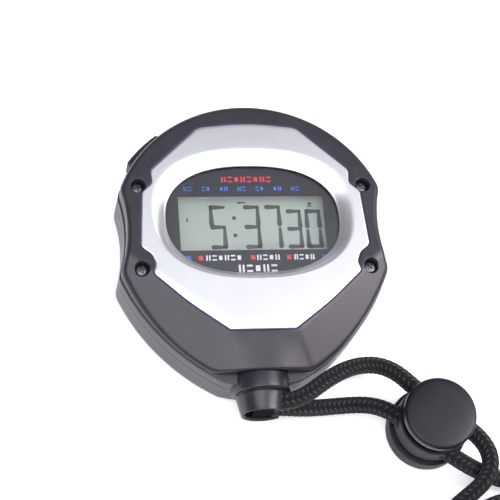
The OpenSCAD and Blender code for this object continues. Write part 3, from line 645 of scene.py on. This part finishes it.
def front_case():
    lower = np.clip((-RAY_Y - 0.55) / 0.3, 0, 1)
    roll = 1.2 - 0.35 * lower - 0.4 * np.clip((-RAY_Y - 0.94) / 0.04, 0, 1)
    outer, inner = PANEL_EDGE[0.25], PANEL_EDGE[1.45]
    start = PLATE_EDGE + 0.14
    flat_end = outer - (outer - inner) * roll / 1.2
    rows = [ring(PLATE_EDGE - 1.5, 18.0), ring(start, 18.0), deck_ring(start, 0.14),
            deck_ring(start + 0.06, 0.04), deck_ring(start + 0.15)]
    rows += [deck_ring(start + 0.15 + (flat_end - start - 0.15) * t)
             for t in np.linspace(0, 1, 21)[1:]]
    for t in np.radians(np.linspace(0, 90, 8)[1:]):
        rows.append(deck_ring(flat_end + (outer - flat_end) * sin(t), roll * (1 - cos(t))))
    rows += [ring(outer, 13.75), ring(outer - 0.06, 13.62), ring(PANEL_EDGE[0.5], 13.55),
             ring(PANEL_EDGE[0.5], 13.15), ring(CASE_EDGE[0.25] * 0.3 + PANEL_EDGE[0.5] * 0.7, 13.08),
             ring(CASE_EDGE[0.25], 13.05)]
    for t in np.radians(np.linspace(0, 90, 5)[1:]):
        rows.append(ring(CASE_EDGE[0.25] + (CASE_EDGE[0] - CASE_EDGE[0.25]) * sin(t),
                         12.8 + 0.25 * cos(t)))
    rows += [ring(CASE_EDGE[0], 11), ring(CASE_EDGE[0], 9.17), ring(CASE_EDGE[0.15] + 0.07, 9.05),
             ring(CASE_EDGE[0.15], 9.02)]
    bm = weld(skin(rows, flip=True))
    for x, y in SCREWS:
        screw_recess(bm, x, y)
    for turn in BUTTON_TURNS.values():
        button_window(bm, turn, 5, WINDOW_HIGH)
    return wall(piece("front_shell", bm, BLACK_CASE, "root", ("front_case",)), SHELL_WALL)


def rear_cover():
    rows = [ring(CASE_EDGE[0.15], 8.98), ring(CASE_EDGE[0.15] + 0.07, 8.95), ring(CASE_EDGE[0], 8.83),
            ring(CASE_EDGE[0], 6), ring(CASE_EDGE[0], 3), ring(CASE_EDGE[0], 1.5)]
    for t in np.radians(np.linspace(0, 90, 9)[1:]):
        rows.append(ring(CASE_EDGE[1.5] + (CASE_EDGE[0] - CASE_EDGE[1.5]) * cos(t), 1.5 - 1.5 * sin(t)))
    rows += [ring(CASE_EDGE[3], 0), ring(CASE_EDGE[3] - 0.15, 0.05), ring(CASE_EDGE[3] - 0.3, 0.35),
             ring(CASE_EDGE[3] - 0.45, 0.4), ring(CASE_EDGE[6] - 0.4, 0.4)]
    rows += [ring(CASE_EDGE[6] * t, 0.4) for t in (0.85, 0.6, 0.35, 0.1, 0)]
    bm = weld(skin(rows, flip=True))
    for turn in BUTTON_TURNS.values():
        button_window(bm, turn, WINDOW_LOW, 11)
    for k in range(19):
        spot = Vector((0, 0)) if k == 0 else (Vector((2.2, 0)) if k < 7 else Vector((4.4, 0)))
        if k:
            spot = Matrix.Rotation(tau * k / (6 if k < 7 else 12), 2) @ spot
        spot = spot + Vector((9, 3))
        planes = [((spot.x + 0.5 * cos(tau * j / 8), spot.y + 0.5 * sin(tau * j / 8), 0),
                   (cos(tau * j / 8), sin(tau * j / 8), 0)) for j in range(8)]
        box_cut(bm, lambda c: (c.xy - spot).length < 2.5 and c.z < 1, planes,
                lambda c: (c.xy - spot).length < 0.5)
    return wall(piece("rear_shell", bm, BLACK_CASE, "root", ("rear_cover",)), SHELL_WALL)


def face_plate():
    rows = [ring(PLATE_EDGE - 0.02, 18.25), deck_ring(PLATE_EDGE - 0.02, 0.22)]
    for t in np.radians(np.linspace(0, 90, 5)[1:]):
        rows.append(deck_ring(PLATE_EDGE - 0.02 - 0.22 * (1 - cos(t)), 0.22 - 0.22 * sin(t)))
    start = PLATE_EDGE - 0.24
    crease = DISH_EDGE + 0.22 * (DISH_EDGE - LENS_EDGE)
    crease = np.minimum(crease, start - 0.1)
    rows += [deck_ring(start + (crease - start) * t) for t in np.linspace(0, 1, 9)[1:]]
    span = DISH_EDGE - LENS_EDGE
    for u in np.concatenate([np.linspace(-0.2, 0.3, 9), np.linspace(0.4, 1, 6)]):
        far = np.minimum(DISH_EDGE - u * span, crease - 0.02 * (u + 0.21))
        x, y = xy(far)
        z = smooth_min(deck(x, y), FACE_Z - 1.7 * (0.55 * u + 0.45 * u * abs(u)), 0.2)
        rows.append(np.stack([x, y, z], 1))
    rows += [ring(LENS_EDGE - 0.1, 17.27), ring(LENS_EDGE - 0.18, 17.2), ring(LENS_EDGE - 0.2, 17.1),
             ring(LENS_EDGE - 0.2, 17.03)]
    bm = weld(skin(rows))
    return wall(piece("silver_plate", bm, SILVER, "root", ("face_plate",), crease=50), 0.25)


def plate_gap_shade():
    """A dark violet sheet under the plate's edge, as painted shade: it shows as a dark line in the gap round
    the plate.
    """
    rows = [deck_ring(PLATE_EDGE - 0.35, 0.75), deck_ring(PLATE_EDGE - 0.02, 0.1),
            deck_ring(PLATE_EDGE + 0.05, 0.06), deck_ring(PLATE_EDGE + 0.12, 0.1),
            deck_ring(PLATE_EDGE + 0.13, 0.75)]
    return wall(piece("plate_gap_shade", weld(skin(rows, flip=True)), GAP_SHADE, "root"), 0.05)


def lens():
    half = reach(oval(LENS_C, (22.6, 15.2)))
    rows = [ring(half * t, 15.85) for t in (0, 0.3, 0.6, 0.85, 0.97)]
    rows += [ring(half, 15.86), ring(half, 16.8), ring(half - 0.06, 16.92), ring(half - 0.2, 16.95)]
    rows += [ring(half * t, 17.0 + 0.1 * (1 - t * t) - 0.05) for t in (0.97, 0.9, 0.8, 0.65, 0.5, 0.3, 0.12, 0)]
    bm = weld(skin(rows))
    bmesh.ops.recalc_face_normals(bm, faces=bm.faces)
    return piece("display_lens", bm, LENS, "root", ("lens",))


def spin_shape(profile, steps=96):
    """Turns a profile of (radius, height) points round the z axis, as one skin."""
    t = np.arange(steps) * tau / steps
    rows = [np.stack([r * np.cos(t), r * np.sin(t), np.full(steps, h)], 1) for r, h in profile]
    return weld(skin(rows))


def fillet(r, h, radius, a0, a1, steps=5):
    """Points of a quarter round in a profile, about a centre."""
    return [(r + radius * cos(radians(a)), h + radius * sin(radians(a)))
            for a in np.linspace(a0, a1, steps + 1)]


def lay_along_post(bm):
    """Stands a turned shape on the post's axis: its z becomes the distance along -Y."""
    turned(bm, radians(90), "X")
    bmesh.ops.translate(bm, vec=(0, 0, POST_Z), verts=bm.verts)


def lanyard_post():
    collar = [(5, 31.1), (5, 35.7)] + fillet(6.8, 36.0, 0.4, -90, 0) + [(7.2, 38)] \
        + fillet(6.7, 39.3, 0.5, 0, 90) \
        + [(6.0, 39.82), (5.9, 40.0), (6.0, 40.2)] + fillet(6.05, 40.4, 0.22, -90, 0, 3) \
        + [(6.25, 40.45), (5.95, 41.8), (5.6, 43.4), (5.36, 44.5)] + fillet(5.16, 44.56, 0.2, 0, 90, 3)
    bm = spin_shape(collar)
    lay_along_post(bm)
    bmesh.ops.recalc_face_normals(bm, faces=bm.faces)
    # the side towards the lock is open, so that the lanyard can leave
    box_cut(bm, lambda c: c.x > 2 and c.y < -40.2, [((4.3, 0, 0), (1, 0, 0)), ((0, -40.6, 0), (0, 1, 0))],
            lambda c: c.x > 4.3 and c.y < -40.6)
    return wall(piece("post_shell", bm, BLACK_POST, "root", ("lanyard_post",)), POST_WALL)


def at_lock(bm):
    turned(bm, LOCK_TURN)
    bmesh.ops.translate(bm, vec=(*LOCK_C, 0), verts=bm.verts)


def lock_barrel():
    profile = [(0, 0), (9.1, 0)] + fillet(9.2, 0.5, 0.5, -90, 0) + [(9.7, 3.4)] \
        + fillet(9.1, 4.3, 0.6, 0, 90) \
        + [(8.5, 4.95), (8.4, 5.1), (8.4, 5.7), (8.5, 5.85)] + fillet(8.7, 6.05, 0.2, -90, 0, 3) \
        + [(8.9, 8.5)] + fillet(8.5, 11.6, 0.4, 0, 90) + [(7.95, 12)]
    bm = spin_shape(profile)
    bmesh.ops.recalc_face_normals(bm, faces=bm.faces)
    for side in (-1, 1):
        for end in (-1, 1):
            centre, r = Vector((0, side * LOCK_CORD_Y, LOCK_CORD_Z)), CORD_D / 2 + 0.25
            planes = [(centre + r * Vector((0, cos(tau * k / 20), sin(tau * k / 20))),
                       (0, cos(tau * k / 20), sin(tau * k / 20))) for k in range(20)]
            box_cut(bm, lambda c: c.x * end > 3 and (c.yz - centre.yz).length < 3.4, planes,
                    lambda c: c.x * end > 3 and (c.yz - centre.yz).length < r)
    at_lock(bm)
    return wall(piece("lock_barrel_shell", bm, BLACK_BARREL, "root", ("lock_barrel",)),
                BARREL_WALL)


def slab(bm, co, no):
    """Keeps what lies behind a plane, and closes the cut."""
    bmesh.ops.bisect_plane(bm, geom=everything(bm), plane_co=co, plane_no=no, clear_outer=True)
    bmesh.ops.holes_fill(bm, edges=[e for e in bm.edges if e.is_boundary], sides=0)


def merged(*parts):
    """Several closed shapes in one mesh."""
    whole = bmesh.new()
    for part in parts:
        mesh = bpy.data.meshes.new("part")
        part.to_mesh(mesh)
        part.free()
        whole.from_mesh(mesh)
        bpy.data.meshes.remove(mesh)
    return whole


def lock_plunger():
    head = [(0, 13.2), (7.5, 13.2), (7.55, 13.3), (7.55, 14.1), (8.0, 14.1)] + fillet(8.2, 14.7, 0.6, -90, 0) \
        + [(8.8, 15.7)] + fillet(7.9, 15.9, 0.9, 0, 72, 8) \
        + [(7.4, 16.86), (6, 16.97), (4, 17.05), (2, 17.09), (0, 17.1)]
    parts = [spin_shape(head, steps=128)]
    for low, high in ((-8, -6.5), (-1.9, 1.9), (6.5, 8)):
        leg = spin_shape([(0, 5.8), (7.3, 5.8), (7.5, 6.0), (7.5, 13.25), (0, 13.25)])
        slab(leg, (0, high, 0), (0, 1, 0))
        slab(leg, (0, low, 0), (0, -1, 0))
        parts.append(leg)
    bm = merged(*parts)
    bmesh.ops.recalc_face_normals(bm, faces=bm.faces)
    at_lock(bm)
    return piece("lock_plunger_cap", bm, BLACK_LOCK, "lock_plunger", ("lock_plunger",))


def block(size, centre, bevel=0.0, steps=3):
    bm = bmesh.new()
    bmesh.ops.create_cube(bm, size=1)
    bmesh.ops.scale(bm, vec=size, verts=bm.verts)
    bmesh.ops.translate(bm, vec=centre, verts=bm.verts)
    if bevel:
        bmesh.ops.bevel(bm, geom=bm.edges[:], offset=bevel, offset_type="OFFSET", affect="EDGES",
                        segments=steps, profile=0.5, material=-1)
    return bm


def stripes(bm, pitch, count):
    """Cuts a shape across at even steps on both sides of its middle, so that it can bend."""
    for k in range(-count, count + 1):
        bmesh.ops.bisect_plane(bm, geom=everything(bm), plane_co=(0, k * pitch, 0), plane_no=(0, 1, 0))


def bend_to_rim(bm, beyond, radius):
    """Sets every vertex past a distance onto a round face about the case's middle."""
    for v in bm.verts:
        if v.co.x > beyond:
            v.co.x += np.sqrt(radius ** 2 - v.co.y ** 2) - radius


def button(name, turn):
    """A push button: the cap that shows, the flange behind the wall, and the stem."""
    cap_far, cap_deep, flange_far = 36.6, 4.8, 32.6
    cap = block((cap_deep, BUTTON_W, BUTTON_H), (cap_far - cap_deep / 2, 0, 0), 0.6, 4)
    stripes(cap, 0.6, 8)
    bend_to_rim(cap, 33.5, cap_far)
    flange = block((1.1, BUTTON_W + 2.2, BUTTON_H + 1.0), (32.06, 0, 0), 0.2)
    stripes(flange, 1.1, 5)
    bend_to_rim(flange, 32.0, flange_far)
    stem = spin_shape([(0, 27.1), (1.0, 27.1), (1.2, 27.3), (1.2, 31.6), (0, 31.6)], steps=32)
    turned(stem, radians(90), "Y")
    bm = merged(cap, flange, stem)
    bmesh.ops.recalc_face_normals(bm, faces=bm.faces)
    turned(bm, turn)
    bmesh.ops.translate(bm, vec=(0, CASE_C[1], BUTTON_Z), verts=bm.verts)
    return piece(name + "_cap", bm, BLACK_BUTTON, name + "_button", (name + "_button",))


def screws():
    parts = []
    for x, y in SCREWS:
        head = spin_shape([(0, 16.2), (1.4, 16.2), (1.5, 16.3), (1.5, 16.7)] + fillet(1.0, 16.8, 0.5, 0, 60, 4)
                          + [(0.9, 17.32), (0.45, 17.38), (0, 17.4)], steps=40)
        for axis in (0, 1):
            for off in (-0.18, 0.18):
                no = Vector((1, 0, 0)) if axis else Vector((0, 1, 0))
                bmesh.ops.bisect_plane(head, geom=everything(head), plane_co=no * off, plane_no=no,
                                       dist=PLANE_GAP)
        gone = [f for f in head.faces if f.calc_center_median().z > 16.9
                and min(abs(f.calc_center_median().x), abs(f.calc_center_median().y)) < 0.18
                and f.calc_center_median().xy.length < 1.05]
        rim = {e for f in gone for e in f.edges}
        bmesh.ops.delete(head, geom=gone, context="FACES")
        rim = [e for e in rim if e.is_valid and e.is_boundary]
        sink(head, rim, [lambda co: Vector((co.x * 0.96, co.y * 0.96, 16.75))])
        bmesh.ops.holes_fill(head, edges=[e for e in head.edges if e.is_boundary], sides=0)
        shank = spin_shape([(0, 5.2), (0.8, 5.3), (1.0, 5.8), (1.0, 16.22), (0, 16.22)], steps=32)
        bm = merged(head, shank)
        bmesh.ops.recalc_face_normals(bm, faces=bm.faces)
        turned(bm, radians(20 + 30 * (x > 0)))
        bmesh.ops.translate(bm, vec=(x, y, 0), verts=bm.verts)
        parts.append(bm)
    return piece("case_screw_set", merged(*parts), SCREW, "root", ("case_screws",))


def coil_tie():
    """A thin strap over the wound lanyard, close round its outside."""
    half_w, height, t = 8.4 / 2 + 0.45, 12.75, 0.35
    path = [(-half_w, 0.15), (-half_w, 3), (-half_w, 6), (-half_w, 9), (-half_w, 11.6)]
    path += [(-half_w + 1.1 - 1.1 * cos(a), 11.6 + 1.1 * sin(a)) for a in np.radians((22, 45, 67, 90))]
    path += [(-half_w + 2.5, height - 0.02), (0, height)]
    path += [(-x, z) for x, z in path[-2::-1]]
    rows = []
    for turn in np.radians(np.linspace(-96, -84, 11)):
        rows.append([(COIL_C[0] + (23 + x) * cos(turn), COIL_C[1] + (23 + x) * sin(turn), z)
                     for x, z in path])
    bm = skin(rows, closed=False)
    bmesh.ops.recalc_face_normals(bm, faces=bm.faces)
    return wall(piece("tie_strap", bm, BLACK_TIE, "root", ("coil_tie",)), t, 0)


def bar(x, y, long, thick, turn=0.0):
    """One bar of a digit, with pointed ends, just over the display's glass."""
    bm = bmesh.new()
    bmesh.ops.create_circle(bm, cap_ends=True, segments=6, radius=thick / HEX_CORNER)
    for v in bm.verts:
        v.co.x += (long - thick) / 2 * (1 if v.co.x > 0 else -1)
    turned(bm, turn)
    bmesh.ops.translate(bm, vec=(x, y, LCD_Z + 0.01), verts=bm.verts)
    made = bmesh.ops.extrude_face_region(bm, geom=bm.faces[:])["geom"]
    bmesh.ops.translate(bm, vec=(0, 0, SEGMENT_HIGH),
                        verts=[g for g in made if isinstance(g, bmesh.types.BMVert)])
    bmesh.ops.recalc_face_normals(bm, faces=bm.faces)
    return bm


# top, upper right, lower right, bottom, lower left, upper left and middle bar
DIGIT_BARS = {3: "1111001", 5: "1011011", 7: "1110000", 0: "1111110"}


def digit(x, y, w, h, number):
    """A seven-bar digit whose lower left corner is at (x, y)."""
    t = w * 0.26
    places = [(w / 2, h - t / 2, 0), (w - t / 2, h * 0.75, 1), (w - t / 2, h * 0.25, 1), (w / 2, t / 2, 0),
              (t / 2, h * 0.25, 1), (t / 2, h * 0.75, 1), (w / 2, h / 2, 0)]
    return [bar(x + px, y + py, (h / 2 if up else w) - 0.25, t, up * pi / 2)
            for on, (px, py, up) in zip(DIGIT_BARS[number], places) if on == "1"]


def segments():
    base, tall, low, parts = -4.0, 11.6, 10.4, []
    for x, w, h, number in ((-10.2, 4.2, tall, 5), (-1.7, 4.2, tall, 3), (3.6, 4.2, tall, 7),
                            (8.9, 4.0, low, 3), (13.6, 4.2, low, 0)):
        parts += digit(x, base, w, h, number)
    parts += [bar(-4.0, base + y, 1.0, 0.95) for y in (3.6, 8.2)]
    parts += [bar(-1.9, 8.25, 2.2, 0.4), bar(-15.6, 3.8, 1.1, 0.45, pi / 2), bar(15.2, 7.9, 0.9, 0.8),
              bar(15.2, 7.2, 1.5, 0.3)]
    return piece("display_segments", merged(*parts), LCD_DARK, "root", ("lcd_segments",))


def print_set(name, spots, material):
    """Flat prints on the mask, each (x, y, width, height)."""
    parts = [block((w, h, PRINT_HIGH), (x, y, PRINT_Z), 0.01, 1) for x, y, w, h in spots]
    return piece(name, merged(*parts), material, "root")


def signs(x, y, groups, pitch, high, group_pitch=0.0):
    """Rows of small plain marks in the place of print: uprights, level strokes and blocks."""
    thick, wide, spots = high * 0.27, pitch * 0.72, []
    for g, count in enumerate(groups):
        for k in range(count):
            left, kind = x + g * group_pitch + k * pitch, (g + k) % 3
            if kind == 0:
                spots += [(left - (wide - thick) / 2, y, thick, high),
                          (left + (wide - thick) / 2, y, thick, high)]
            elif kind == 1:
                spots += [(left, y + (high - thick) / 2, wide, thick),
                          (left, y - (high - thick) / 2, wide, thick)]
            else:
                spots += [(left, y, wide * 0.8, high * 0.8)]
    return spots


def ink(name, tint):
    return moulded(name, tint, 0.5, 0.2, 0.002)


# ---- the pieces that replace their CAD nodes
front_case()
rear_cover()
face_plate()
plate_gap_shade()
lens()
lanyard_post()
barrel = lock_barrel()
plunger = lock_plunger()
for name, turn in BUTTON_TURNS.items():
    button(name, turn)
screws()
tie = coil_tie()
segments()
blue, red, white = (ink("print_" + n, t) for n, t in (
    ("blue", rgb(0.05, 0.2, 0.9)), ("red", rgb(0.95, 0.04, 0.07)), ("white", rgb(0.97, 0.97, 1))))
print_set("print_blue_marks", signs(-16.0, 10.8, (2,) * 7, 1.15, 1.1, 4.45)
          + [(-16.3, -7.3, 1.25, 1.2), (17, -7.3, 1.0, 1.0)], blue)
print_set("print_red_marks", [(x, -7.3, 1.1, 1.1) for x in (-13.3, -0.6, 8.3)]
          + signs(-6.4, 13.3, (8,), 1.6, 1.5), red)
print_set("print_white_marks", signs(-11.5, -7.3, (6,), 1.5, 1.4) + signs(0.9, -7.3, (4,), 1.5, 1.4)
          + signs(10, -7.3, (4,), 1.35, 1.4) + signs(-3.6, -10.1, (5,), 2.0, 1.9), white)

CARRIED = {
    "front_case": BLACK_CASE, "rear_cover": BLACK_CASE, "face_plate": SILVER, "lens": LENS,
    "lens_mask": BLACK_MASK, "case_screws": SCREW, "lcd_frame": FRAME_WHITE, "lcd_glass": LCD_GREY,
    "lcd_segments": LCD_DARK, "zebra_strips": ZEBRA, "circuit_board": BOARD, "chip_blob": EPOXY,
    "quartz_crystal": TIN, "smd_parts": TIN, "board_screws": TIN, "key_contacts": BRASS,
    "piezo_buzzer": BRASS, "buzzer_spring": SPRING, "button_cell": CELL, "cell_clip": TIN,
    "cell_contact": BRASS, "start_button": BLACK_BUTTON, "reset_button": BLACK_BUTTON,
    "mode_button": BLACK_BUTTON, "start_spring": SPRING, "reset_spring": SPRING, "mode_spring": SPRING,
    "lanyard_post": BLACK_POST, "post_pin": TIN, "cord_clamp": CLAMP_SHADE, "coil_tie": BLACK_TIE,
    "lock_barrel": BLACK_LOCK, "lock_plunger": BLACK_LOCK, "lock_spring": SPRING}
for name, material in CARRIED.items():
    for place in range(len(NODES[name].material_slots)):
        NODES[name].material_slots[place].material = material

# the return springs of the buttons and plunger get meshes of their own
for name, turn in BUTTON_TURNS.items():
    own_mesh(NODES[name + "_spring"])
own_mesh(NODES["lock_spring"])
